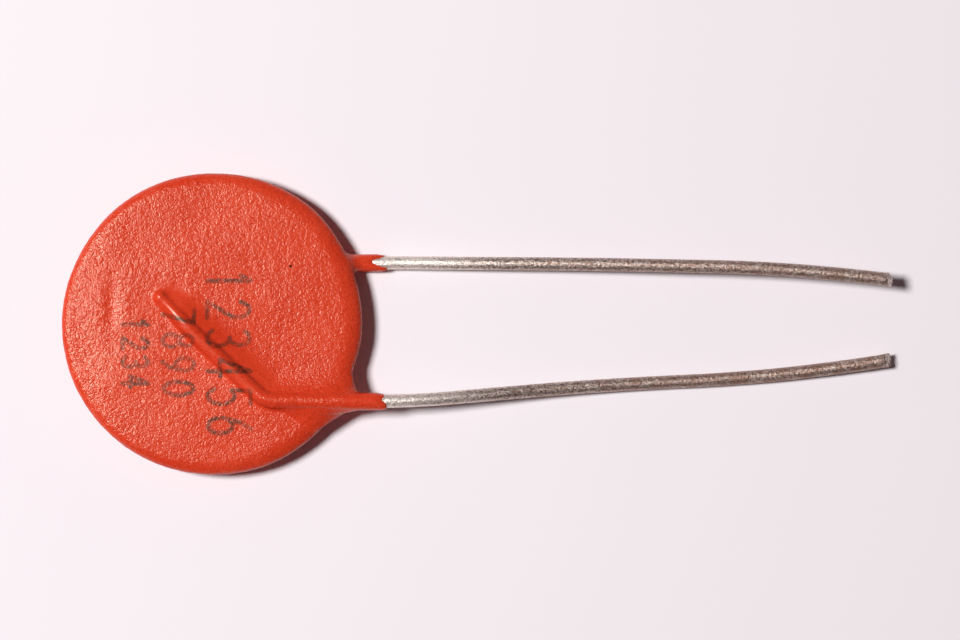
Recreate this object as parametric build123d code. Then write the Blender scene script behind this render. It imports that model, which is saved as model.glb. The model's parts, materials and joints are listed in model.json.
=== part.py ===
from build123d import *
import math
import os

# Radial-lead ceramic disc capacitor, lying flat. All sizes are in millimetres.
# While it is being built, the disc's axis is at X = Y = 0, the leads run towards +X, and
# Z = 0 is the surface that it lies on. "Front" is the upper face, "back" is the lower one.

# Body
disc_diameter = 14.35
ceramic_thickness = 0.50
electrode_thickness = 0.02
electrode_margin = 0.35  # bare ceramic left outside the silver
coat_on_rim = 0.47
coat_on_face = 0.30
coat_on_wire = 0.12
ridge_foot_radius = 0.20  # fillet where a ridge meets the face
ridge_depth = 0.15  # how far a ridge's section goes down into the coating
foot_sink = 0.015  # how far the fillet's toe and the web start below the face

# Leads
wire_diameter = 0.64
solder_gap = 0.03  # solder film between the wire and the silver
lead_pitch = 6.50  # between the wire centres where they leave the disc
pair_offset = -0.36  # middle of the pair, sideways from the disc's axis
lead_reach = 25.15  # from the rim's outermost point to the cut ends
crook_radius = 1.20  # bend under the coating
sweep_radius = 24.0  # gentle bends in the free wire
straight_end = 5.10  # last run of each lead, before its cut end

# Wire under the coating: it starts on the far side of the pair's middle and crosses over
crossing_start = -2.25  # X of the wire's inner end
crossing_rise = 1.46  # of the inner end, past the pair's middle
crook_place = 2.70  # X of the crook's corner

# Free wire: X places measured outwards from the rim, sideways drifts from the exit line
knee_place = 1.85
landing_place = 11.20
front_drifts = [-0.09, 0.68, 1.08, 1.90]  # at the knee, the landing, the last bend, the end
back_drifts = [0.03, -0.05, -0.23, -0.80]
front_end_lift = 0.27  # gap under the cut end
back_lifts = [0.0, 0.46, 0.89, 1.03]  # above the wire's height at the disc

# Coating on the leads past the rim
front_run_down = 1.95  # along the wire, from the place where it crosses the rim
back_run_down = 1.75
taper_length = 0.60  # of the run-down's thinning end
coat_at_end = 0.03
ridge_past_rim = 0.30
web_radius = 0.72  # of the coating about the lead's axis, at the rim
web_fall_radius = 1.10  # hollow curve from there down to the lead
web_depth = 3.60  # how far its section reaches into the disc
web_overlap = 0.032  # how far inside the wire that curve starts

# Solder fillet
solder_foot = 0.55  # half of its width on the silver
solder_height = 0.30
solder_hollow = 0.055  # how far its sides curve in
solder_overlap = 0.019  # how far inside the wire's circle its top corners are
solder_past_tip = 0.22
solder_from_edge = 0.60  # stops short of the silver's edge

disc_radius = disc_diameter / 2
wire_radius = wire_diameter / 2
crest_radius = wire_radius + coat_on_wire
body_thickness = ceramic_thickness + 2 * coat_on_face
ceramic_radius = disc_radius - coat_on_rim
electrode_radius = ceramic_radius - electrode_margin
wire_from_ceramic = electrode_thickness + solder_gap + wire_radius
wire_from_face = wire_from_ceramic - coat_on_face
middle_height = crest_radius + wire_from_ceramic + ceramic_thickness / 2
web_start_radius = wire_radius - web_overlap  # about the lead's axis
FRONT = 1
BACK = -1


def wire_height(side):
    """Height of the wire's centre where it lies on the disc."""
    return middle_height + side * (ceramic_thickness / 2 + wire_from_ceramic)


def exit_line(side):
    """Y of the wire's centre where it leaves the disc."""
    return pair_offset - side * lead_pitch / 2


def hidden_points(side):
    """Inner end and crook of a lead, on the face of the disc."""
    height = wire_height(side)
    inner_end = Vector(crossing_start, pair_offset + side * crossing_rise, height)
    crook = Vector(crook_place, exit_line(side), height)
    return [inner_end, crook]


def free_points(side):
    """Knee, landing, last bend and cut end of a lead, outside the disc."""
    end_place = disc_radius + lead_reach
    places = [disc_radius + knee_place, disc_radius + landing_place]
    places += [end_place - straight_end, end_place]
    if side == FRONT:
        drifts = front_drifts
        on_floor = wire_radius
        heights = [wire_height(side), on_floor, on_floor, on_floor + front_end_lift]
    else:
        drifts = back_drifts
        heights = [wire_height(side) + lift for lift in back_lifts]
    sideways = [exit_line(side) + drift for drift in drifts]
    return [Vector(x, y, z) for x, y, z in zip(places, sideways, heights)]


def lead_route(side):
    """Centre line of a whole lead: straight runs joined by tangent arcs."""
    points = hidden_points(side) + free_points(side)
    gentle = [sweep_radius] * (len(points) - 3)
    return FilletPolyline(*points, radius=[crook_radius] + gentle)


def hidden_route(side, end_place):
    """Centre line of the wire from its inner end to an X place past the crook."""
    inner_end, crook = hidden_points(side)
    return FilletPolyline(inner_end, crook, along_exit(side, end_place), radius=crook_radius)


def along_exit(side, place):
    """Point at an X place on the straight run from the crook to the knee."""
    crook = hidden_points(side)[1]
    knee = free_points(side)[0]
    share = (place - crook.X) / (knee.X - crook.X)
    return crook + (knee - crook) * share


def rim_crossing(side):
    """X where the lead passes over the rim."""
    return math.sqrt(disc_radius**2 - exit_line(side) ** 2)


def section_plane(route, side):
    """Plane across the start of a route, with its Y pointing away from the disc."""
    outwards = Vector(0, 0, side)
    along = route % 0
    return Plane(origin=route @ 0, x_dir=outwards.cross(along), z_dir=along)


def lead(side):
    """One bent wire, cut square at both ends."""
    route = lead_route(side)
    start = Plane(origin=route @ 0, z_dir=route % 0)
    return sweep(start * Circle(wire_radius), path=route)


def ceramic_disc():
    """Fired dielectric disc."""
    return Pos(0, 0, middle_height) * Cylinder(ceramic_radius, ceramic_thickness)


def electrode(side):
    """Fired silver film on one face of the ceramic."""
    film = Cylinder(electrode_radius, electrode_thickness)
    height = middle_height + side * (ceramic_thickness + electrode_thickness) / 2
    return Pos(0, 0, height) * film


def solder_section():
    """Section of the solder under and beside the wire, with hollow sides."""
    bottom = -(wire_radius + solder_gap)
    top = bottom + solder_height
    top_half = wire_radius - solder_overlap
    middle_x = (solder_foot + top_half) / 2 - solder_hollow
    middle_y = (bottom + top) / 2 - solder_hollow
    outline = [
        Line((-solder_foot, bottom), (solder_foot, bottom)),
        ThreePointArc((solder_foot, bottom), (middle_x, middle_y), (top_half, top)),
        Line((top_half, top), (-top_half, top)),
        ThreePointArc((-top_half, top), (-middle_x, middle_y), (-solder_foot, bottom)),
    ]
    return make_face(outline)


def solder(side):
    """Solder along the wire where it lies on the silver, and round the wire's inner end."""
    silver_edge = math.sqrt(electrode_radius**2 - exit_line(side) ** 2)
    route = hidden_route(side, silver_edge - solder_from_edge)
    across = section_plane(route, side)
    beside_wire = sweep(across * (solder_section() - Circle(wire_radius)), path=route)
    past_tip = extrude(across * solder_section(), amount=-solder_past_tip)
    return beside_wire + past_tip


def ridge_half():
    """Right half of a ridge's section about the wire's centre, as edges from top to bottom."""
    face = -wire_from_face - foot_sink
    buried = face - ridge_depth
    foot_y = face + ridge_foot_radius
    foot_x = math.sqrt((crest_radius + ridge_foot_radius) ** 2 - foot_y**2)
    foot = Vector(foot_x, foot_y)
    meeting = foot.normalized() * crest_radius
    crest_turn = math.atan2(foot.X, foot.Y) / 2
    crest_middle = Vector(math.sin(crest_turn), math.cos(crest_turn)) * crest_radius
    toe = Vector(foot_x, face)
    towards_middle = ((meeting - foot) + (toe - foot)).normalized()
    corner = Vector(math.sqrt(crest_radius**2 - buried**2), buried)
    under_turn = math.atan2(corner.X, -corner.Y) / 2
    under_middle = Vector(math.sin(under_turn), -math.cos(under_turn)) * crest_radius
    return [
        ThreePointArc((0, crest_radius), crest_middle, meeting),
        ThreePointArc(meeting, foot + towards_middle * ridge_foot_radius, toe),
        Line(toe, (foot_x, buried)),
        Line((foot_x, buried), corner),
        ThreePointArc(corner, under_middle, (0, -crest_radius)),
    ]


def ridge(side):
    """Coating over the hidden wire: a bell section along it and a rounded inner end."""
    route = hidden_route(side, rim_crossing(side) + ridge_past_rim)
    across = section_plane(route, side)
    half = ridge_half()
    mirrored = [mirror(edge, about=Plane.YZ) for edge in half]
    run = sweep(across * make_face(half + mirrored), path=route)
    middle_line = Line((0, crest_radius), (0, -crest_radius))
    upright = Axis(route @ 0, (0, 0, side))
    dome = revolve(across * make_face(half + [middle_line]), upright, revolution_arc=180)
    return run + dome


def run_down(side, length):
    """Coating that ran along the lead: a sleeve that thins to a low edge."""
    start = along_exit(side, rim_crossing(side) + ridge_past_rim)
    end = along_exit(side, rim_crossing(side) + length)
    along = (end - start).normalized()
    taper_start = end - along * taper_length
    edge_radius = wire_radius + coat_at_end
    sleeve_length = (taper_start - start).length
    sleeve = extrude(Plane(origin=start, z_dir=along) * Circle(crest_radius), amount=sleeve_length)
    middle = Plane(origin=(taper_start + end) / 2, z_dir=along)
    taper = middle * Cone(crest_radius, edge_radius, taper_length)
    return sleeve + taper


def web(side, length):
    """Coating drawn out round the lead where it crosses the rim, below the face."""
    rise = web_radius - web_start_radius
    turn = math.acos(1 - rise / web_fall_radius)
    half_way = Vector(-math.sin(turn / 2), 1 - math.cos(turn / 2)) * web_fall_radius
    half_way += Vector(0, web_start_radius)
    wide = (-web_fall_radius * math.sin(turn), web_radius)
    inside_disc = -web_depth
    outline = [
        ThreePointArc((0, web_start_radius), half_way, wide),
        Line(wide, (inside_disc, web_radius)),
        Line((inside_disc, web_radius), (inside_disc, 0)),
        Line((inside_disc, 0), (0, 0)),
        Line((0, 0), (0, web_start_radius)),
    ]
    trumpet = revolve(make_face(outline), Axis.X)
    narrow_end = along_exit(side, rim_crossing(side) + length - taper_length)
    clear_of_disc = disc_diameter + lead_reach
    flat_box = Box(clear_of_disc, clear_of_disc, body_thickness - 2 * foot_sink)
    return Pos(0, 0, middle_height) * flat_box & Pos(*narrow_end) * trumpet


def body():
    """Dipped disc with a full-round rim."""
    half = body_thickness / 2
    flat = disc_radius - half
    outline = [
        Line((0, 0, -half), (flat, 0, -half)),
        ThreePointArc((flat, 0, -half), (disc_radius, 0, 0), (flat, 0, half)),
        Line((flat, 0, half), (0, 0, half)),
        Line((0, 0, half), (0, 0, -half)),
    ]
    return Pos(0, 0, middle_height) * revolve(make_face(outline), Axis.Z)


def coating(inside):
    """Cured resin around everything but the free wire."""
    shape = body()
    for side, length in ((FRONT, front_run_down), (BACK, back_run_down)):
        shape = shape + web(side, length) + ridge(side) + run_down(side, length)
    for piece in inside:
        shape = shape - piece
    return shape


def assembly():
    """Every piece by name, seated face to face."""
    pieces = {
        "front_lead": lead(FRONT),
        "back_lead": lead(BACK),
        "front_solder": solder(FRONT),
        "back_solder": solder(BACK),
        "front_electrode": electrode(FRONT),
        "back_electrode": electrode(BACK),
        "ceramic_disc": ceramic_disc(),
    }
    pieces["coating"] = coating(pieces.values())
    return pieces


# The origin is under the middle of the whole part, on the surface that it lies on
pieces = assembly()
boxes = [piece.bounding_box() for piece in pieces.values()]
middle_x = (min(box.min.X for box in boxes) + max(box.max.X for box in boxes)) / 2
middle_y = (min(box.min.Y for box in boxes) + max(box.max.Y for box in boxes)) / 2
os.makedirs("parts", exist_ok=True)
for name, piece in pieces.items():
    export_step(Pos(-middle_x, -middle_y, 0) * piece, f"parts/{name}.step")
print("disc axis at X", round(-middle_x, 4), "Y", round(-middle_y, 4))
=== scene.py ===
import json
import math
import bpy
import numpy as np
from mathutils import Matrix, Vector, noise


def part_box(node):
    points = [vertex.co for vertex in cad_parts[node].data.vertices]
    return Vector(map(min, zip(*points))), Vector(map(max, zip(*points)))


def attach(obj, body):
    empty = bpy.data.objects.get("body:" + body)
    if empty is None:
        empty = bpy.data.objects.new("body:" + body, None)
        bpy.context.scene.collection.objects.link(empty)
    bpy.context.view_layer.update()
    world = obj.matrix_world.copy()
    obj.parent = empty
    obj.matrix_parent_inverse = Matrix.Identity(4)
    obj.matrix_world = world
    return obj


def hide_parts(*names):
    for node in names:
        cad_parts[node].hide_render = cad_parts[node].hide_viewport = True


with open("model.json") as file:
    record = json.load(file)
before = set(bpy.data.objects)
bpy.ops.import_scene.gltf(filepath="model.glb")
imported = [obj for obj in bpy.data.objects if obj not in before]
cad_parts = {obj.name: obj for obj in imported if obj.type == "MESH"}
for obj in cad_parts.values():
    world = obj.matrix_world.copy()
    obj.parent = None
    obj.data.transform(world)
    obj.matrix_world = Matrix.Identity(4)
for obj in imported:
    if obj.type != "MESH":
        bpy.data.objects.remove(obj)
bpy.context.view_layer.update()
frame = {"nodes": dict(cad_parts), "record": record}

mm = 0.001  # metres in a millimetre: shapes are worked out in mm about the disc's own axis
ceramicLow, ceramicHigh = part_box("ceramic_disc")
axisX, axisY = (ceramicLow.x + ceramicHigh.x) / 2, (ceramicLow.y + ceramicHigh.y) / 2
discAxis = np.array([axisX, axisY, 0]) / mm
middleHeight = (ceramicLow.z + ceramicHigh.z) / 2 / mm
ceramicThickness = (ceramicHigh.z - ceramicLow.z) / mm
discRadius = discAxis[0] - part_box("coating")[0].x / mm
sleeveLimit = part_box("coating")[1].x / mm - discAxis[0] - 0.01  # the coating's end on the wires
wireRadius = frame["record"]["mounts"][0]["dims"]["r_mm"]
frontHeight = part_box("front_lead")[1].z / mm - wireRadius  # of the wire's centre, on the disc
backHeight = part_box("back_lead")[0].z / mm + wireRadius


# shader sockets as values that take part in sums
class Value:
    def __init__(self, shader, socket):
        self.shader, self.socket = shader, socket

    def math(self, operation, *others):
        inputs = dict(enumerate((self,) + others))
        return self.shader.node("ShaderNodeMath", {"operation": operation}, inputs)

    def swapped(self, operation, other):
        return self.shader.node("ShaderNodeMath", {"operation": operation}, {0: other, 1: self})

    def __add__(self, other): return self.math("ADD", other)
    def __radd__(self, other): return self.swapped("ADD", other)
    def __sub__(self, other): return self.math("SUBTRACT", other)
    def __rsub__(self, other): return self.swapped("SUBTRACT", other)
    def __mul__(self, other): return self.math("MULTIPLY", other)
    def __rmul__(self, other): return self.swapped("MULTIPLY", other)
    def __truediv__(self, other): return self.math("DIVIDE", other)
    def __rtruediv__(self, other): return self.swapped("DIVIDE", other)
    def __pow__(self, other): return self.math("POWER", other)

    def between(self, low, high):  # 0 at low, 1 at high, smooth in the middle
        settings = {"interpolation_type": "SMOOTHSTEP", "clamp": True}
        return self.shader.node("ShaderNodeMapRange", settings,
                                {"Value": self, "From Min": low, "From Max": high})


class Shader:
    def __init__(self, name):
        self.material = bpy.data.materials.new(name)
        self.material.use_nodes = True
        self.tree = self.material.node_tree
        self.tree.nodes.clear()

    def node(self, kind, settings=None, inputs=None, output=0):
        made = self.tree.nodes.new(kind)
        for name, value in (settings or {}).items():
            setattr(made, name, value)
        for name, value in (inputs or {}).items():
            if isinstance(value, Value):
                self.tree.links.new(value.socket, made.inputs[name])
            elif value is not None:
                made.inputs[name].default_value = value
        return Value(self, made.outputs[output]) if len(made.outputs) else made

    def mix(self, factor, first, second, blend="MIX"):
        settings = {"data_type": "RGBA", "blend_type": blend, "clamp_factor": True}
        return self.node("ShaderNodeMix", settings, {0: factor, 6: rgba(first), 7: rgba(second)}, 2)

    def place(self):  # in the row's own frame, in mm
        where = self.node("ShaderNodeTexCoord", output="Object")
        return self.stretched(where, (1 / mm, 1 / mm, 1 / mm))

    def stretched(self, vector, scale):
        return self.node("ShaderNodeVectorMath", {"operation": "MULTIPLY"}, {0: vector, 1: scale})

    def attribute(self, name, output=2):  # 2 is the number, 1 the vector
        return self.node("ShaderNodeAttribute", {"attribute_name": name}, output=output)

    def cloud(self, vector, perMm, detail=2.0, rough=0.5, warp=0.0):
        return self.node("ShaderNodeTexNoise", {"noise_dimensions": "3D"},
                         {"Vector": vector, "Scale": perMm, "Detail": detail,
                          "Roughness": rough, "Distortion": warp})

    def bump(self, height, depth, below=None):
        return self.node("ShaderNodeBump", {}, {"Height": height, "Distance": depth * mm,
                                                "Strength": 1.0, "Normal": below})

    def finish(self, **inputs):
        named = {name.replace("_", " "): value for name, value in inputs.items()}
        surface = self.node("ShaderNodeBsdfPrincipled", {}, named)
        self.node("ShaderNodeOutputMaterial", {}, {"Surface": surface})
        return self.material


def rgba(colour):
    return colour if isinstance(colour, Value) else (*colour, 1.0)


# routes and distances, in mm from the disc's axis
def unit(vector):
    return vector / np.linalg.norm(vector)


def bentRoute(corners, radii, arcStep):
    # straight runs joined by tangent arcs, as points
    corners = [np.array(corner, float) for corner in corners]
    route = [corners[0]]
    for before, corner, after, radius in zip(corners, corners[1:], corners[2:], radii):
        back, onward = unit(before - corner), unit(after - corner)
        turn = math.pi - math.acos(float(np.clip(back @ onward, -1, 1)))
        start = corner + back * radius * math.tan(turn / 2)
        centre = corner + unit(back + onward) * radius / math.cos(turn / 2)
        count = max(3, int(radius * turn / arcStep))
        for angle in np.linspace(0, turn, count + 1):
            fromCentre = (start - centre) * math.cos(angle) - back * radius * math.sin(angle)
            route.append(centre + fromCentre)
    route.append(corners[-1])
    return np.array(route)


def evenSteps(route, step):
    lengths = np.r_[0, np.cumsum(np.linalg.norm(np.diff(route, axis=0), axis=1))]
    places = np.linspace(0, lengths[-1], int(lengths[-1] / step) + 1)
    points = [np.interp(places, lengths, route[:, axis]) for axis in range(3)]
    return np.stack(points, axis=1), places


def routeGap(points, route):
    # distance from each point to the nearest place on the route
    best = np.full(len(points), np.inf)
    for start, end in zip(route, route[1:]):
        run = end - start
        share = np.clip(((points - start) @ run) / (run @ run), 0, 1)
        offset = points - start - share[:, None] * run
        best = np.minimum(best, np.einsum("ij,ij->i", offset, offset))
    return np.sqrt(best)


def smoothStep(values, low, high):
    share = np.clip((values - low) / (high - low), 0, 1)
    return share * share * (3 - 2 * share)


def blended(first, second, reach):
    # the nearer of two surfaces, with a hollow fillet where they meet
    share = np.clip(0.5 + 0.5 * (second - first) / reach, 0, 1)
    return second * (1 - share) + first * share - reach * share * (1 - share)


def flatShare(fromTip):
    # 1 at a wire's inner end, which was flattened before soldering, 0 past the flattening
    return 1 - smoothStep(fromTip, 0, wires["flatLength"])


def toRow(points):
    return (np.asarray(points) + discAxis) * mm


def meshPiece(name, points, faces, attributes, material):
    mesh = bpy.data.meshes.new(name)
    faces = faces if isinstance(faces, list) else faces.tolist()
    mesh.from_pydata(toRow(points).tolist(), [], faces)
    mesh.validate()
    for label, kind, values in attributes:
        layer = mesh.attributes.new(label, kind, "POINT")
        layer.data.foreach_set("value" if kind == "FLOAT" else "vector", np.ravel(values))
    mesh.polygons.foreach_set("use_smooth", [True] * len(mesh.polygons))
    piece = bpy.data.objects.new(name, mesh)
    bpy.context.scene.collection.objects.link(piece)
    piece.data.materials.append(material)
    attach(piece, "root")
    return piece


# where the two wires run
wires = {
    "bendRadii": [1.2, 24.0, 50.0, 75.0],
    "arcStep": 0.1,
    "routeStep": 0.25,
    "crestShift": {"front": (0.07, 0.08), "back": (0, 0)},  # of the hidden run, sideways
    "flatLength": 1.9,
    "flatDepth": 0.095,  # of the centre and of the half height, at the inner end
    "shiftEnds": (-2.4, -0.6, 2.0, 3.6),  # where that shift comes in and goes out again, along X
    "frontCorners": [(-2.25, 1.10, frontHeight), (2.70, -3.61, frontHeight),
                     (9.03, -3.70, frontHeight), (18.37, -2.93, wireRadius),
                     (27.22, -2.53, wireRadius), (32.31, -1.71, wireRadius + 0.27)],
    "backCorners": [(-2.25, -1.82, backHeight), (2.70, 2.89, backHeight),
                    (9.03, 2.92, backHeight), (18.37, 2.84, backHeight + 0.46),
                    (27.22, 2.66, backHeight + 0.89), (32.30, 2.09, backHeight + 1.03)],
}


def wireRoute(side):
    bent = bentRoute(wires[side + "Corners"], wires["bendRadii"], wires["arcStep"])
    route, places = evenSteps(bent, wires["routeStep"])
    comesIn, isIn, goesOut, isOut = wires["shiftEnds"]
    hidden = (1 - smoothStep(route[:, 0], goesOut, isOut)) * smoothStep(route[:, 0], comesIn, isIn)
    route[:, :2] -= np.outer(hidden, wires["crestShift"][side])
    towardsFace = 1 if side == "back" else -1
    route[:, 2] += towardsFace * flatShare(places) * wires["flatDepth"]
    return route


routes = {side: wireRoute(side) for side in ("front", "back")}
print("routes of the wires are laid out")


# coating: one dipped skin over the disc, the hidden wires and their first stretch outside
coat = {
    "step": 0.066,  # between the mesh's points across the face, mm
    "heightStep": 0.085,
    "onFace": 0.30,
    "onWire": 0.100,
    "onRidge": 0.075,  # thinner over the wire's crest on the disc
    "thickenFrom": (3.0, 6.5),  # between these places the skin goes from one to the other
    "inset": (0.008, 0.012),  # of the rim and the faces, so that the lumps stay inside the box
    "rimRound": 0.68,
    "rimSkew": 0.4,  # rounder towards the leads, sharper away from them
    "dome": 0.10,  # each face falls this much from the middle to the rim
    "leftFall": 0.13,  # the resin is thinner towards the rim opposite the leads
    "leftFallFrom": 4.4,
    "footBlend": 0.16,  # hollow beside a ridge
    "drainBlend": 1.20,  # on the side that the resin drained to
    "drainAside": (-0.1, 0.6),  # where the drained side begins, across and along the ridge
    "drainAlong": (-0.5, 0.9),
    "ridgeRise": 0.42,  # this far above the face the hollow is gone
    "footRise": 0.25,  # and it comes in over this height from the disc's middle
    "leastBlend": 0.05,
    "straightBlend": 0.40,  # along the straight run to the rim
    "straightFrom": (3.4, 5.4),
    "webBlend": {"front": (1.00, 0.98), "back": (0.50, 0.50)},  # rim to wire, outside and inside
    "webRim": (1.5, 0.2),  # the web comes in between these, inwards of the rim
    "webFade": (-0.50, 0.10),  # and fades out between these, below the face
    "bulges": [  # of the outline: place round it, width, height
        (50, 15, 0.11), (72, 12, 0.05), (0, 24, -0.03), (-16, 7, -0.09), (-68, 14, 0.05),
        (-48, 12, 0.03), (150, 14, -0.04)],
    "frontEnd": 8.12,  # where the run-down on each wire ends, from the disc's axis
    "backEnd": 8.45,
    "frontDroop": 0.42,  # longer on the outer side
    "frontShoulder": 0.10,
    "backShort": 0.25,
    "backTongue": 0.80,  # how far the bare metal reaches back along the top of the back wire
    "tonguePoint": 1.6,
    "raggedWaves": [(0.05, 3, 1.0), (0.03, 7, 2.4)],  # depth, waves round the wire, phase
    "endBead": 0.42,
    "underWire": 0.03,  # past its end the skin goes on inside the wire, this deep
    "routeUsed": 9.6,
    "pastTip": 0.22,  # of the ridge, beyond the wire's inner end
    "webEnd": (6.5, 7.6),  # where the web fades out along the wire
    "dipPlace": (-4.75, 0.95),
    "dipReach": (0.36, 1.5),
    "dipDepth": 0.075,
    "leftLumps": 0.25,
    "grainDepth": 0.010,
    "grainPerMm": 5.2,
    "broadGrain": (0.42, 0.75),  # how wide and how strong the broad lumps are beside the fine ones
    "waveDepth": 0.008,
    "waves": [(1.35, 0.70, 1.0), (-0.8, 1.7, 2.2)],
}


def bodyGap(points):
    x, y, z = points.T
    angle = np.degrees(np.arctan2(y, x))
    rimInset, faceInset = coat["inset"]
    outline = np.full(len(points), discRadius - rimInset)
    for place, width, height in coat["bulges"]:
        outline += height * np.exp(-((angle - place) / width) ** 2)
    half = ceramicThickness / 2 + coat["onFace"] - faceInset
    half = half - coat["dome"] * (x * x + y * y) / discRadius**2
    half -= coat["leftFall"] * smoothStep(-x, coat["leftFallFrom"], discRadius)
    waves = sum(np.sin(perX * x + perY * y + phase) for perX, perY, phase in coat["waves"])
    faceWave = coat["waveDepth"] * waves
    (dipX, dipY), (reachX, reachY) = coat["dipPlace"], coat["dipReach"]
    dip = coat["dipDepth"] * np.exp(-((x - dipX) / reachX) ** 2 - ((y - dipY) / reachY) ** 2)
    level = np.abs(z - middleHeight) + np.where(z > middleHeight, dip, 0) - faceWave
    rounding = coat["rimRound"] * (1 + coat["rimSkew"] * x / discRadius)
    past = np.maximum(np.hypot(x, y) - (outline - rounding), 0) * half / rounding
    return np.hypot(past, level) - half


def sleeveGap(points, side):
    # the skin over one wire: full thickness on the disc, then thinning to a ragged edge
    x, y, z = points.T
    route = routes[side]
    near = route[route[:, 0] < coat["routeUsed"]]
    near = np.concatenate([near[:1] + unit(near[0] - near[1]) * coat["pastTip"], near])
    margin, farAway = 2.0, 9.0
    low, high = near.min(0) - margin, near.max(0) + margin
    inside = np.all((points > low) & (points < high), axis=1)
    gap = np.full(len(points), farAway)
    gap[inside] = routeGap(points[inside], near)
    order = np.argsort(route[:, 0])
    wireY = np.interp(x, route[order, 0], route[order, 1])
    wireZ = np.interp(x, route[order, 0], route[order, 2])
    around = np.arctan2(z - wireZ, y - wireY)
    ragged = sum(depth * np.sin(count * around + phase)
                 for depth, count, phase in coat["raggedWaves"])
    if side == "front":
        end = coat["frontEnd"] + 0.3 * ragged
        end += coat["frontDroop"] * smoothStep(wireY - y, -0.10, 0.40)
        end += coat["frontShoulder"] * smoothStep(y - wireY, 0.05, 0.3)
    else:
        offTop = np.clip(np.abs(y - wireY) / wireRadius, 0, 1)
        tongue = np.where(z > wireZ, 1 - offTop ** coat["tonguePoint"], 0)
        end = coat["backEnd"] + ragged - coat["backTongue"] * tongue
        end -= coat["backShort"] * smoothStep(y - wireY, 0, 0.3)
    rounded = np.sqrt(np.clip((end - x) / coat["endBead"], 0, 1))
    thickening = smoothStep(x, *coat["thickenFrom"])
    onWire = coat["onRidge"] + (coat["onWire"] - coat["onRidge"]) * thickening
    onWire = onWire - wires["flatDepth"] * flatShare(np.linalg.norm(points - near[0], axis=1))
    under = coat["underWire"]
    sleeve = gap - (wireRadius - under + (onWire + under) * rounded)
    return np.maximum(sleeve, x - sleeveLimit)  # closed inside the wire


def coatingGap(points):
    body = bodyGap(points)
    out = np.hypot(points[:, 0], points[:, 1])
    webStart, webFull = coat["webRim"]
    towardsEnd = 1 - smoothStep(points[:, 0], *coat["webEnd"])
    atRim = smoothStep(out, discRadius - webStart, discRadius - webFull) * towardsEnd
    straight = smoothStep(points[:, 0], *coat["straightFrom"]) * towardsEnd
    whole = body
    for side, sign in (("front", 1), ("back", -1)):
        face = middleHeight + sign * (ceramicThickness / 2 + coat["onFace"])
        beneath = smoothStep(sign * (face - points[:, 2]), *coat["webFade"])
        start, crook = (np.array(corner) for corner in wires[side + "Corners"][:2])
        run = unit((crook - start)[:2])
        offset = points[:, :2] - start[:2]
        drained = smoothStep(offset @ np.array([-run[1], run[0]]), *coat["drainAside"])
        drained = drained * smoothStep(offset @ run, *coat["drainAlong"])
        foot = coat["footBlend"] + (coat["drainBlend"] - coat["footBlend"]) * drained
        # only on the face that this wire lies on
        foot = foot * smoothStep(sign * (points[:, 2] - middleHeight), 0, coat["footRise"])
        onFoot = (1 - np.clip(body / coat["ridgeRise"], 0, 1)) ** 0.8
        reach = coat["leastBlend"] + coat["straightBlend"] * straight + foot * onFoot
        inner = smoothStep(sign * (points[:, 1] - crook[1]), -0.3, 0.3)
        outerWeb, innerWeb = coat["webBlend"][side]
        web = outerWeb + (innerWeb - outerWeb) * inner
        reach += np.maximum(web - reach, 0) * atRim * beneath
        whole = blended(whole, sleeveGap(points, side), reach)
    return whole


def slope(field, points, step=0.004):
    parts = []
    for axis in range(3):
        shift = np.zeros(3)
        shift[axis] = step
        parts.append((field(points + shift) - field(points - shift)) / (2 * step))
    return np.stack(parts, axis=1)


def skinMesh(field, low, high, steps):
    # quads around every grid edge that the surface crosses, then pulled onto the surface
    axes = [np.arange(a, b, s) for a, b, s in zip(low, high, steps)]
    shape = [len(axis) for axis in axes]
    values = np.empty(shape)
    for index, x in enumerate(axes[0]):
        y, z = np.meshgrid(axes[1], axes[2], indexing="ij")
        layer = np.stack([np.full(y.size, x), y.ravel(), z.ravel()], axis=1)
        values[index] = field(layer).reshape(y.shape)
    inside = values < 0
    corners = sum(inside[i:shape[0] - 1 + i, j:shape[1] - 1 + j, k:shape[2] - 1 + k].astype(int)
                  for i in (0, 1) for j in (0, 1) for k in (0, 1))
    crossed = (corners > 0) & (corners < 8)
    number = np.full(crossed.shape, -1)
    number[crossed] = np.arange(crossed.sum())
    cells = np.argwhere(crossed)
    points = np.array([axis[0] for axis in axes]) + (cells + 0.5) * np.array(steps)
    faces = []
    for axis in range(3):
        first, second = (axis + 1) % 3, (axis + 2) % 3
        turned = np.moveaxis(inside, (axis, first, second), (0, 1, 2))
        cellsTurned = np.moveaxis(number, (axis, first, second), (0, 1, 2))
        change = turned[:-1, 1:-1, 1:-1] != turned[1:, 1:-1, 1:-1]
        places = np.argwhere(change)
        i, j, k = places.T
        quad = np.stack([cellsTurned[i, j, k], cellsTurned[i, j + 1, k],
                         cellsTurned[i, j + 1, k + 1], cellsTurned[i, j, k + 1]], axis=1)
        outward = turned[:-1, 1:-1, 1:-1][change]
        quad[~outward] = quad[~outward][:, ::-1]
        faces.append(quad)
    faces = np.concatenate(faces)
    edges = np.concatenate([faces[:, [a, (a + 1) % 4]] for a in range(4)])
    weight = np.bincount(edges.ravel(), minlength=len(points))[:, None]
    for turn in range(5):
        if turn:  # spread the points evenly before the next pull
            total = np.stack([np.bincount(edges[:, 0], points[edges[:, 1], axis], len(points))
                              + np.bincount(edges[:, 1], points[edges[:, 0], axis], len(points))
                              for axis in range(3)], axis=1)
            points = points * 0.3 + total / weight * 0.7
        for _ in range(2):
            gradient = slope(field, points)
            steepness = np.maximum((gradient**2).sum(1), 0.05)
            points = points - gradient * (field(points) / steepness)[:, None]
    return points, faces


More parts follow.
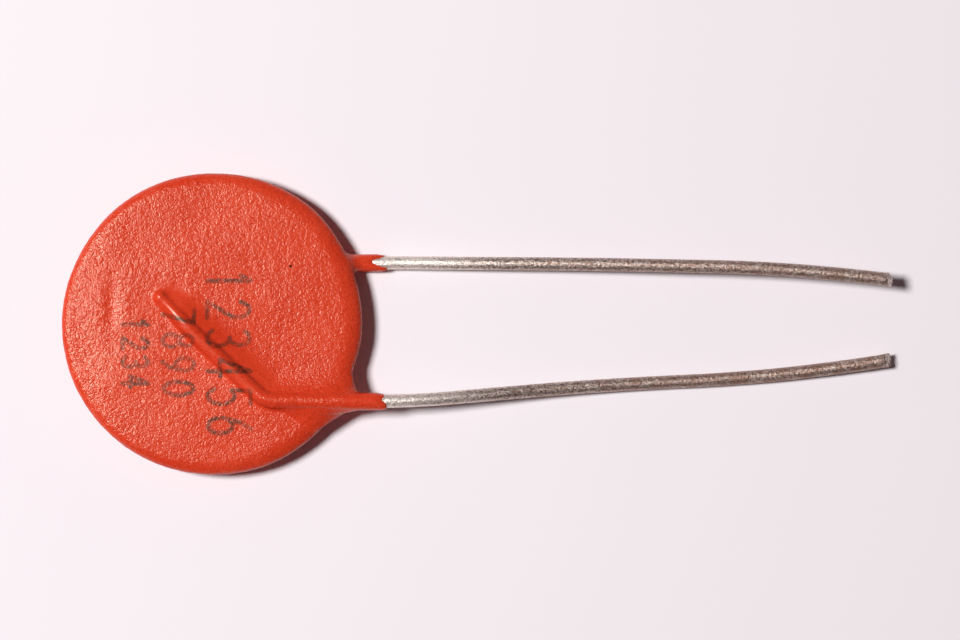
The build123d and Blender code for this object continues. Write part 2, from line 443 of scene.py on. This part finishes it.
def crestShare(points):
    # 1 along the crest over the front wire and on its drained side, 0 away from it
    start, crook = (np.array(corner)[:2] for corner in wires["frontCorners"][:2])
    run = unit(crook - start)
    offset = points[:, :2] - start
    along, aside = offset @ run, offset @ np.array([-run[1], run[0]])
    length = np.linalg.norm(crook - start)
    share = smoothStep(along, -0.5, 0.0) * (1 - smoothStep(along, length - 1.2, length + 0.3))
    share *= smoothStep(aside, -0.38, -0.20) * (1 - smoothStep(aside, 0.7, 1.3))
    return np.where(points[:, 2] > middleHeight, share, 0)


def lumpiness(points):
    x, y, _ = points.T
    amount = 1 - 0.6 * smoothStep(np.hypot(x, y), discRadius - 0.1, discRadius + 0.5)
    amount *= 1 + coat["leftLumps"] * smoothStep(-x, 2.5, 6.0)
    return amount * (1 - 0.85 * crestShare(points))


def grain(points, normals):
    # lumps of the cured resin, lower on the drawn-out sleeves
    calm = lumpiness(points)
    lumps = np.empty(len(points))
    broadScale, broadShare = coat["broadGrain"]
    for index, point in enumerate(points * coat["grainPerMm"]):
        lump = noise.noise(Vector(point) + Vector((31.0, 7.0, 3.0)))
        broad = noise.noise(Vector(point) * broadScale)
        lumps[index] = lump + broadShare * broad
    return points + normals * (lumps * calm * coat["grainDepth"])[:, None]


# ink: plain numbers, worn, as a distance from their strokes
ink = {
    "rows": [  # digits, height, centre of the row, pitch, width
        ("123456", 2.05, (0.82, -1.38), 1.38, 0.98),
        ("7890", 1.50, (-1.58, -1.35), 1.14, 0.80),
        ("1234", 1.22, (-3.62, -1.36), 0.90, 0.64),
    ],
    "halfStroke": 0.114,
    "edge": (0.55, 1.35),  # shares of the half stroke between which the ink fades
    "wearPerMm": 6.5,
    "patchesPerMm": 0.9,
    "colour": (0.092, 0.022, 0.011),
}


def arc(x, y, width, height, start, end):
    angles = np.radians(np.linspace(start, end, 14))
    return np.stack([x + width * np.cos(angles), y + height * np.sin(angles)], axis=1)


def strokes(*points):
    return np.array(points, float)


digits = {
    "0": [arc(0.5, 0.5, 0.40, 0.48, 0, 360)],
    "1": [strokes((0.25, 0.78), (0.52, 1.0), (0.52, 0.0))],
    "2": [np.r_[arc(0.5, 0.70, 0.38, 0.28, 165, -35), strokes((0.12, 0.0), (0.90, 0.0))]],
    "3": [arc(0.46, 0.75, 0.36, 0.23, 150, -90), arc(0.46, 0.26, 0.40, 0.26, 90, -150)],
    "4": [strokes((0.68, 0.0), (0.68, 1.0), (0.10, 0.30), (0.92, 0.30))],
    "5": [strokes((0.85, 1.0), (0.22, 1.0), (0.18, 0.56)), arc(0.46, 0.32, 0.40, 0.31, 125, -150)],
    "6": [arc(0.5, 0.30, 0.38, 0.29, 0, 360), strokes((0.15, 0.40), (0.34, 0.78), (0.66, 1.0))],
    "7": [strokes((0.12, 1.0), (0.88, 1.0), (0.38, 0.0))],
    "8": [arc(0.5, 0.75, 0.32, 0.23, 0, 360), arc(0.5, 0.26, 0.38, 0.26, 0, 360)],
    "9": [arc(0.5, 0.70, 0.38, 0.29, 0, 360), strokes((0.85, 0.60), (0.66, 0.22), (0.34, 0.0))],
}


def inkGap(points):
    # the rows read downwards: a digit's top is towards the leads
    flat = points * np.array([1, 1, 0])
    best = np.full(len(points), 1.0)
    for text, height, (rowX, rowY), pitch, width in ink["rows"]:
        for place, digit in enumerate(text):
            startY = rowY + pitch * (len(text) - 1) / 2 - pitch * place + width / 2
            for line in digits[digit]:
                route = np.stack([rowX + (line[:, 1] - 0.5) * height, startY - line[:, 0] * width,
                                  np.zeros(len(line))], axis=1)
                near = np.all((flat[:, :2] > route[:, :2].min(0) - 0.3)
                              & (flat[:, :2] < route[:, :2].max(0) + 0.3), axis=1)
                best[near] = np.minimum(best[near], routeGap(flat[near], route))
    best[points[:, 2] < middleHeight] = 1.0
    return best


resin = {
    "colour": (0.690, 0.048, 0.014),
    "deep": (0.620, 0.036, 0.010),
    "pale": (0.750, 0.064, 0.024),
    # painted shade: darker resin for the hollows of the fine bumps
    "hollowShade": (0.400, 0.014, 0.005),
    "pinhole": (3.75, 2.74),
    # painted shade: near black for the inside of the pinhole
    "pinholeShade": (0.03, 0.006, 0.004),
    "cloudsPerMm": {"broad": 0.35, "lumps": 6.5, "fine": 13.0},
    "bumps": {"lumps": 0.028, "fine": 0.018, "pinhole": 0.08},  # depths, mm
    "roughness": 0.28,
    "glint": (1.0, 0.90, 0.72),
}


def resinMaterial():
    shader = Shader("dippedResin")
    place = shader.place()
    perMm, bumps = resin["cloudsPerMm"], resin["bumps"]
    broad = shader.cloud(place, perMm["broad"], 3.0)
    lumps = shader.cloud(place, perMm["lumps"], 2.0, 0.55, 0.4)
    fine = shader.cloud(place, perMm["fine"], 2.0, 0.6)
    colour = shader.mix(broad.between(0.35, 0.68), resin["deep"], resin["pale"])
    colour = shader.mix(0.55, colour, resin["colour"])
    colour = shader.mix(lumps.between(0.40, 0.72) * 0.30, colour, resin["pale"])
    # painted shade: darker resin mixed into the hollows of the fine bumps
    colour = shader.mix((1 - fine.between(0.30, 0.49)) * 0.60, colour, resin["hollowShade"])
    gap = shader.attribute("inkGap")
    wear = shader.cloud(place, ink["wearPerMm"], 3.0, 0.62)
    patches = shader.cloud(place, ink["patchesPerMm"], 1.0)
    solid, gone = (ink["halfStroke"] * share for share in ink["edge"])
    stroke = 1 - (gap + (wear - 0.5) * 0.10).between(solid, gone)
    worn = stroke * (0.30 + 0.65 * wear.between(0.36, 0.58))
    worn = worn * (0.62 + 0.38 * patches.between(0.3, 0.6))
    colour = shader.mix(worn, colour, ink["colour"])
    holeX, holeY = resin["pinhole"]
    faceHeight = middleHeight + ceramicThickness / 2 + coat["onFace"]
    hole = Vector(toRow((holeX, holeY, faceHeight)) / mm)
    distance = {"operation": "DISTANCE"}
    fromHole = shader.node("ShaderNodeVectorMath", distance, {0: place, 1: hole}, 1)
    inHole = 1 - (fromHole + (fine - 0.5) * 0.06).between(0.05, 0.10)
    # painted shade: the pinhole's hollow is coloured near black
    colour = shader.mix(inHole * 0.9, colour, resin["pinholeShade"])
    lumpy = shader.attribute("lumpiness")
    normal = shader.bump(lumps * lumpy, bumps["lumps"])
    normal = shader.bump(fine * lumpy, bumps["fine"], normal)
    normal = shader.bump(1 - inHole, bumps["pinhole"], normal)
    rough = resin["roughness"] + (lumps - 0.5) * 0.22 + worn * 0.15
    rough = rough - (lumpy - 1).math("MAXIMUM", 0) * 0.3  # glossier where it is lumpiest
    return shader.finish(Base_Color=colour, Roughness=rough, Normal=normal, IOR=1.5,
                         Specular_IOR_Level=0.5, Specular_Tint=rgba(resin["glint"]))


def makeCoating(material):
    margin = 0.25
    low = (-discRadius - margin, -discRadius - margin, -0.15)
    high = (sleeveLimit + margin, discRadius + margin, frontHeight + wireRadius + 0.45)
    steps = (coat["step"], coat["step"], coat["heightStep"])
    points, faces = skinMesh(coatingGap, low, high, steps)
    gradient = slope(coatingGap, points)
    normals = gradient / np.maximum(np.linalg.norm(gradient, axis=1), 1e-6)[:, None]
    points = grain(points, normals)
    boxLow, boxHigh = (np.array(corner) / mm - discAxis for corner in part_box("coating"))
    points = np.clip(points, boxLow, boxHigh)
    attributes = [("inkGap", "FLOAT", inkGap(points)), ("lumpiness", "FLOAT", lumpiness(points))]
    piece = meshPiece("coating_skin", points, faces, attributes, material)
    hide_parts("coating")
    return piece


skin = makeCoating(resinMaterial())
print("coating has", len(skin.data.vertices), "points and", len(skin.data.polygons), "faces")


# leads: drawn, tinned wire with sheared ends
tin = {
    "around": 44,
    "along": 0.075,
    "wander": 0.006,  # slow waves of the wire, mm
    "wanderFrom": 9,  # along the wire, outside the coating
    "pits": 0.0055,
    "streaks": 0.004,
    "pinchLength": 0.22,  # flattened a little by the cutters
    "pinchWider": 0.05,
    "pinchThinner": 0.10,
    "shear": 0.42,  # slant of the cut, from top to bottom
    "burrs": [(2.4, 0.085), (6, 0.040)],  # of the cut edge: how fine, how deep
    "cutTurn": {"front": 0.15, "back": -0.25},  # slant of the cut, sideways
    "colour": (0.82, 0.71, 0.65),
    "dark": (0.21, 0.130, 0.095),
    "brown": (0.32, 0.185, 0.135),
    # bright flecks of tin, and the colour of the painted highlight next to the coating
    "brightFleckAndHighlight": (1.0, 0.91, 0.83),
    "torn": (1.0, 0.90, 0.82),
    "roughness": 0.37,
    "metallic": 0.85,
    "highlightBandUntil": (12.2, 19.0),  # painted highlight next to the coating, in place of the lamp's streak on the wire, places along the wire
    "highlightBandSpread": 0.10,  # added roughness there
    "browning": {"front": (0.08, 0.75), "back": (0.04, 0.60)},  # everywhere, and more to the end
    "bumps": {"specks": 0.040, "drawn": 0.018},
}


def wireMesh(side):
    line, places = evenSteps(routes[side], tin["along"])
    seed = 11.0 if side == "front" else 47.0
    length = places[-1]
    for index, place in enumerate(places):
        start = tin["wanderFrom"]
        if place > start:
            swing = noise.noise(Vector((place * 0.28, seed, 0)))
            lift = noise.noise(Vector((place * 0.28, seed, 17)))
            amount = tin["wander"] * smoothStep(place, start, start + 3)
            line[index, 1:] += np.array([swing, lift * 0.3]) * amount
    flat = flatShare(places) * wires["flatDepth"]
    tangents = np.gradient(line, axis=0)
    tangents /= np.linalg.norm(tangents, axis=1)[:, None]
    sideways = np.cross([0, 0, 1], tangents)
    sideways /= np.linalg.norm(sideways, axis=1)[:, None]
    upward = np.cross(tangents, sideways)
    angles = np.arange(tin["around"]) * 2 * math.pi / tin["around"]
    points, coords, cut = [], [], []
    for index, place in enumerate(places):
        fromEnd = length - place
        for angle in angles:
            aside, above = math.cos(angle), math.sin(angle)
            sample = Vector((place * 1.6, aside * 1.1 + seed, above * 1.1))
            dents = noise.noise(sample * 3.6) + 0.7 * noise.noise(sample * 8.3)
            streak = noise.noise(Vector((place * 0.5, aside * 3.2 + seed, above * 3.2)))
            radius = wireRadius - 0.004 + dents * tin["pits"] + streak * tin["streaks"]
            radius *= 0.5 + 0.5 * smoothStep(place, -0.1, 0.5)  # rounded inner end
            pinch = math.exp(-(fromEnd / tin["pinchLength"]) ** 2)
            across = aside * radius * (1 + tin["pinchWider"] * pinch)
            over = above * (radius * (1 - tin["pinchThinner"] * pinch) - flat[index])
            slant = (aside * tin["cutTurn"][side] - above * tin["shear"]) * wireRadius
            burr = sum(depth * noise.noise(Vector((aside * fine, above * fine, seed)))
                       for fine, depth in tin["burrs"])
            push = (slant + burr - 0.10) * smoothStep(place, length - 0.35, length)
            points.append(line[index] + sideways[index] * across + upward[index] * over
                          + tangents[index] * push)
            coords.append((place, angle * wireRadius, seed))
            cut.append(float(smoothStep(place, length - 0.12, length)))
    rings, count = len(places), tin["around"]
    faces = [(ring * count + (spot + 1) % count, (ring + 1) * count + (spot + 1) % count,
              (ring + 1) * count + spot, ring * count + spot)
             for ring in range(rings - 1) for spot in range(count)]
    # cut face: rings that shrink to the middle, torn and slightly hollow
    rim = np.array(points[-count:])
    middle = rim.mean(0)
    last = (rings - 1) * count
    for share in (0.93, 0.8, 0.62, 0.42, 0.2):
        first = len(points)
        for spot, corner in enumerate(rim):
            torn = noise.noise(Vector((corner - middle) * 7) + Vector((seed, share, 0)))
            sink = -0.045 * (1 - share) ** 0.5 + 0.02 * torn
            points.append(middle + (corner - middle) * share + tangents[-1] * sink)
            coords.append((length + 1 - share, spot * 0.05, seed))
            cut.append(1.0)
        faces += [(last + (spot + 1) % count, first + (spot + 1) % count, first + spot, last + spot)
                  for spot in range(count)]
        last = first
    points.append(middle - tangents[-1] * 0.05)
    coords.append((length + 1, 0, seed))
    cut.append(1.0)
    faces += [(last + (spot + 1) % count, len(points) - 1, last + spot) for spot in range(count)]
    # inner end, out of sight under the coating
    points.append(line[0])
    coords.append((0, 0, seed))
    cut.append(0.0)
    faces += [(spot, len(points) - 1, (spot + 1) % count) for spot in range(count)]
    return np.array(points), faces, np.array(coords), np.array(cut), length


def tinMaterial(side, length):
    shader = Shader(side + "TinnedWire")
    coords = shader.attribute("wireCoords", 1)
    split = shader.node("ShaderNodeSeparateXYZ", {}, {"Vector": coords})
    toEnd = split.between(13.0, length - 6)
    # the band next to the coating where a highlight is painted into the colour
    highlightBand = 1 - split.between(*tin["highlightBandUntil"])
    place = shader.place()
    specks = shader.cloud(place, 9.5, 3.0, 0.65)
    patches = shader.cloud(place, 1.4, 3.0, 0.55)
    drawn = shader.cloud(shader.stretched(coords, (1.3, 9.0, 1.0)), 1.0, 3.0, 0.6)
    colour = shader.mix(specks.between(0.35, 0.62), tin["dark"], tin["colour"])
    colour = shader.mix(specks.between(0.56, 0.70) * 0.8, colour, tin["brightFleckAndHighlight"])
    colour = shader.mix(drawn.between(0.45, 0.70) * 0.35, colour, tin["dark"])
    everywhere, atEnd = tin["browning"][side]
    browning = (everywhere + atEnd * toEnd) * (0.45 + 0.55 * patches.between(0.35, 0.65))
    colour = shader.mix(browning, colour, tin["brown"])
    # painted highlight: the tin is made brighter next to the coating in place of the lamp's streak
    paintedShine = highlightBand * (0.40 + 0.50 * specks.between(0.3, 0.52))
    colour = shader.mix(paintedShine, colour, tin["brightFleckAndHighlight"])
    cut = shader.attribute("cutFace")
    torn = cut * specks.between(0.38, 0.58)
    colour = shader.mix(torn * 0.85, colour, tin["torn"])
    rough = tin["roughness"] + (specks - 0.5) * 0.35 + toEnd * 0.08
    rough = rough + highlightBand * tin["highlightBandSpread"]
    normal = shader.bump(specks, tin["bumps"]["specks"])
    normal = shader.bump(drawn, tin["bumps"]["drawn"], normal)
    return shader.finish(Base_Color=colour, Roughness=rough, Metallic=tin["metallic"],
                         Normal=normal)


def makeLead(side):
    points, faces, coords, cut, length = wireMesh(side)
    boxLow, boxHigh = (np.array(corner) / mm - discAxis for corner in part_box(side + "_lead"))
    points = np.clip(points, boxLow, boxHigh)
    attributes = [("wireCoords", "FLOAT_VECTOR", coords), ("cutFace", "FLOAT", cut)]
    material = tinMaterial(side, length)
    piece = meshPiece(side + "_wire", points, faces, attributes, material)
    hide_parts(side + "_lead")
    return piece


for side in ("front", "back"):
    makeLead(side)
print("leads are drawn and cut")


# sealed pieces, seen only when the part is opened
sealed = {
    "solder": {"colour": (0.55, 0.55, 0.54), "shade": (0.36, 0.36, 0.37), "grain": 9.0,
               "metallic": 0.9, "roughness": 0.34, "nodes": ("front_solder", "back_solder")},
    "silverFilm": {"colour": (0.78, 0.76, 0.71), "shade": (0.62, 0.59, 0.53), "grain": 6.0,
                   "metallic": 0.8, "roughness": 0.55,
                   "nodes": ("front_electrode", "back_electrode")},
    "firedCeramic": {"colour": (0.60, 0.47, 0.33), "shade": (0.46, 0.34, 0.22), "grain": 12.0,
                     "metallic": 0.0, "roughness": 0.72, "nodes": ("ceramic_disc",)},
}


def sealedMaterial(name, look):
    shader = Shader(name)
    place = shader.place()
    grains = shader.cloud(place, look["grain"], 3.0, 0.6)
    patches = shader.cloud(place, 0.8, 2.0)
    mottle = grains.between(0.3, 0.7) * 0.6 + patches * 0.4
    colour = shader.mix(mottle, look["shade"], look["colour"])
    rough = look["roughness"] + (grains - 0.5) * 0.2
    return shader.finish(Base_Color=colour, Roughness=rough, Metallic=look["metallic"],
                         Normal=shader.bump(grains, 0.012))


for name, look in sealed.items():
    material = sealedMaterial(name, look)
    for node in look["nodes"]:
        carried = frame["nodes"][node]
        for slot in carried.material_slots:
            slot.link = "OBJECT"
            slot.material = material
print("sealed pieces have their finishes")


# floor, lamp, sky and camera
studio = {
    "floor": (0.905, 0.842, 0.880),
    "floorReach": 1.2,
    "lampDistance": 0.44,
    "lampHeight": 57.0,  # degrees above the floor
    "lampTurn": 168.0,  # degrees round from +X
    "lampSize": 0.105,
    "lampPower": 2.19,
    "sky": (0.066, 0.044, 0.047),
    "cameraHeight": 0.200,
    "viewWidth": 45.7,
    "viewCentre": (12.74, 0.19),
}


def floorMaterial():
    shader = Shader("palePaper")
    place = shader.place()
    mottle = shader.cloud(place, 0.06, 2.0)
    red, green, blue = studio["floor"]
    dull = (red * 0.985, green * 0.985, blue * 0.985)
    colour = shader.mix(mottle, dull, (red, green * 1.01, blue))
    return shader.finish(Base_Color=colour, Roughness=0.85, Specular_IOR_Level=0.25)


def makeFloor():
    mesh = bpy.data.meshes.new("floor")
    reach = studio["floorReach"]
    corners = [(-reach, -reach, 0), (reach, -reach, 0), (reach, reach, 0), (-reach, reach, 0)]
    mesh.from_pydata(corners, [], [(0, 1, 2, 3)])
    floor = bpy.data.objects.new("floor", mesh)
    bpy.context.scene.collection.objects.link(floor)
    floor.data.materials.append(floorMaterial())


def aim(thing, target):
    thing.rotation_euler = (Vector(target) - thing.location).to_track_quat("-Z", "Y").to_euler()


def makeLamp():
    lamp = bpy.data.lights.new("softbox", "AREA")
    lamp.shape = "DISK"
    lamp.size = studio["lampSize"]
    lamp.energy = studio["lampPower"]
    thing = bpy.data.objects.new("softbox", lamp)
    height, turn = math.radians(studio["lampHeight"]), math.radians(studio["lampTurn"])
    level = math.cos(height)
    direction = Vector((level * math.cos(turn), level * math.sin(turn), math.sin(height)))
    thing.location = direction * studio["lampDistance"]
    bpy.context.scene.collection.objects.link(thing)
    aim(thing, (0, 0, 0))


def makeSky():
    world = bpy.data.worlds.new("studio")
    world.use_nodes = True
    background = world.node_tree.nodes["Background"]
    background.inputs["Color"].default_value = (*studio["sky"], 1)
    background.inputs["Strength"].default_value = 1.0
    bpy.context.scene.world = world


def makeCamera():
    scene = bpy.context.scene
    camera = bpy.data.cameras.new("camera")
    thing = bpy.data.objects.new("camera", camera)
    centre = toRow((*studio["viewCentre"], 0))
    thing.location = (centre[0], centre[1], middleHeight * mm + studio["cameraHeight"])
    camera.sensor_width = 36
    camera.lens = camera.sensor_width * studio["cameraHeight"] / (studio["viewWidth"] * mm)
    camera.clip_start = 0.01
    scene.collection.objects.link(thing)
    scene.camera = thing
    scene.view_settings.view_transform = "Standard"


makeFloor()
makeLamp()
makeSky()
makeCamera()
print("floor, lamp, sky and camera are set")
